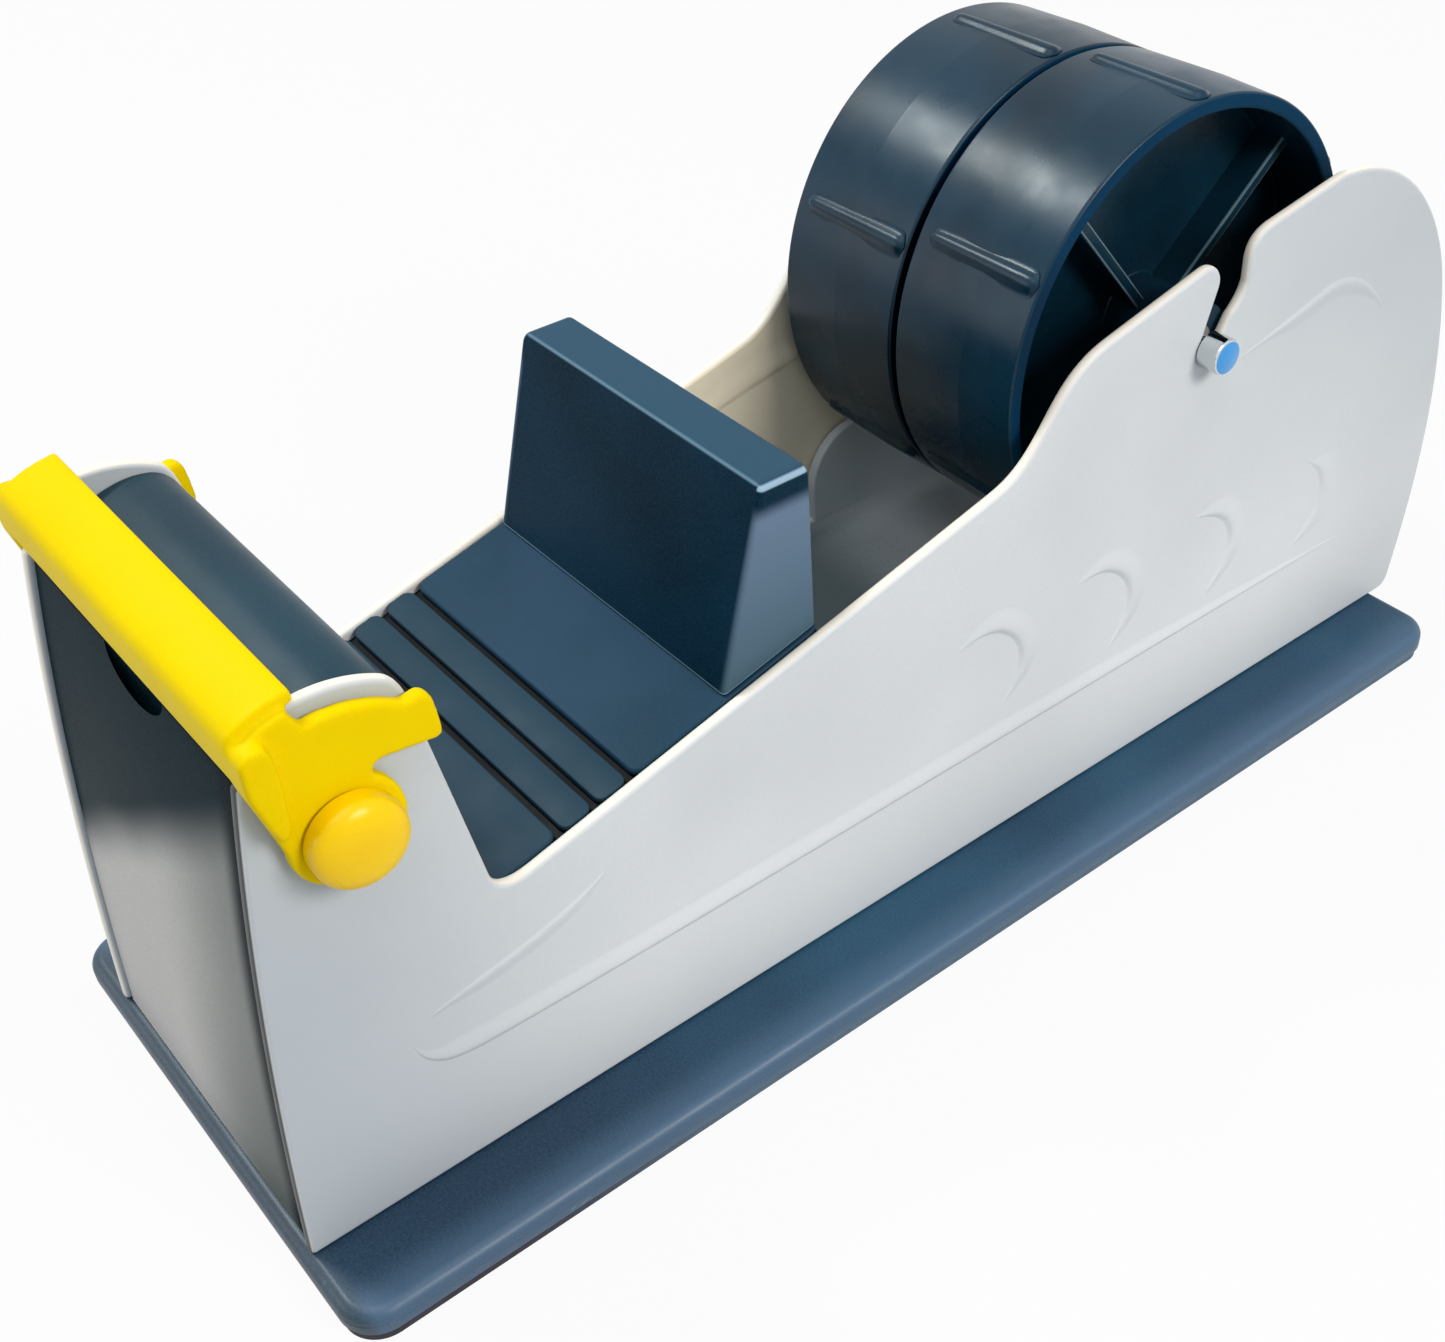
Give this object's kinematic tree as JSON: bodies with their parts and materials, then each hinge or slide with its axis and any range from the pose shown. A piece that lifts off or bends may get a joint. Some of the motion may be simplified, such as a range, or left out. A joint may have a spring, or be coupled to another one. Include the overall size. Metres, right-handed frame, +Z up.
{
  "type": "tape dispenser",
  "caption": "Heavy bench tape dispenser: side plates on a weighted base, core hubs on a lift-out axle, a grooved deck with a tall divider, and a blade under a swinging guard.",
  "frame": {"origin": "under the middle of the whole part, on the surface it stands on", "axes": "+Z is up; +Y is towards the rear, where the rolls hang; +X is the dispenser's right side as seen in the picture"},
  "size_m": [0.093, 0.242, 0.1214],
  "materials": {
    "plate_paint": "satin light grey powder coat",
    "base_paint": "semi-gloss dark blue-grey paint",
    "sole_rubber": "matte black",
    "panel_gloss": "glossy near-black",
    "dark_plastic": "semi-gloss bluish charcoal with a fine grain",
    "guard_yellow": "satin bright yellow",
    "cap_yellow": "satin warm yellow",
    "white_nylon": "natural nylon",
    "axle_chrome": "polished",
    "blade_steel": "bright",
    "zinc_steel": "zinc plated",
    "ballast_iron": "rough cast"
  },
  "bodies": {
    "frame": {"base_slab": "base_paint", "base_sole": "sole_rubber", "right_side_plate": "plate_paint", "left_side_plate": "plate_paint", "front_panel": "panel_gloss", "rear_panel": "dark_plastic", "blade_holder": "dark_plastic", "blade": "blade_steel", "head_cover": "dark_plastic", "deck": "dark_plastic", "divider": "dark_plastic", "roll_tray": "dark_plastic", "ballast_weight": "ballast_iron", "right_shaft_bush": "white_nylon", "left_shaft_bush": "white_nylon", "guard_spring": "blade_steel", "base_screw_1": "zinc_steel", "base_screw_2": "zinc_steel", "base_screw_3": "zinc_steel", "base_screw_4": "zinc_steel", "base_screw_5": "zinc_steel", "base_screw_6": "zinc_steel", "blade_screw_1": "zinc_steel", "divider_screw_1": "zinc_steel", "blade_screw_2": "zinc_steel", "divider_screw_2": "zinc_steel"},
    "guard": {"guard": "guard_yellow", "guard_shaft": "zinc_steel", "right_guard_cap": "cap_yellow", "left_guard_cap": "cap_yellow", "spring_collar": "zinc_steel"},
    "axle": {"axle": "axle_chrome", "right_hub_washer": "dark_plastic", "left_hub_washer": "dark_plastic", "middle_washer": "dark_plastic"},
    "right_hub": {"right_hub": "dark_plastic"},
    "left_hub": {"left_hub": "dark_plastic"}
  },
  "joints": [
    {"name": "guard_hinge", "type": "hinge", "parent": "frame", "child": "guard", "pos_m": [0, -0.0999, 0.0761], "axis": [-1, 0, 0], "range_deg": [0, 12], "stiffness_Nm_per_rad": 0.03, "springref_deg": -20.05, "deforming": ["guard_spring"]},
    {"name": "axle_lift", "type": "slide", "parent": "frame", "child": "axle", "axis": [0, 0.3998, 0.9166], "range_m": [0, 0.04]},
    {"name": "right_hub_spin", "type": "hinge", "parent": "axle", "child": "right_hub", "pos_m": [0.0135, 0.0521, 0.0825], "axis": [1, 0, 0], "continuous": true},
    {"name": "left_hub_spin", "type": "hinge", "parent": "axle", "child": "left_hub", "pos_m": [-0.0135, 0.0521, 0.0825], "axis": [1, 0, 0], "continuous": true}
  ]
}
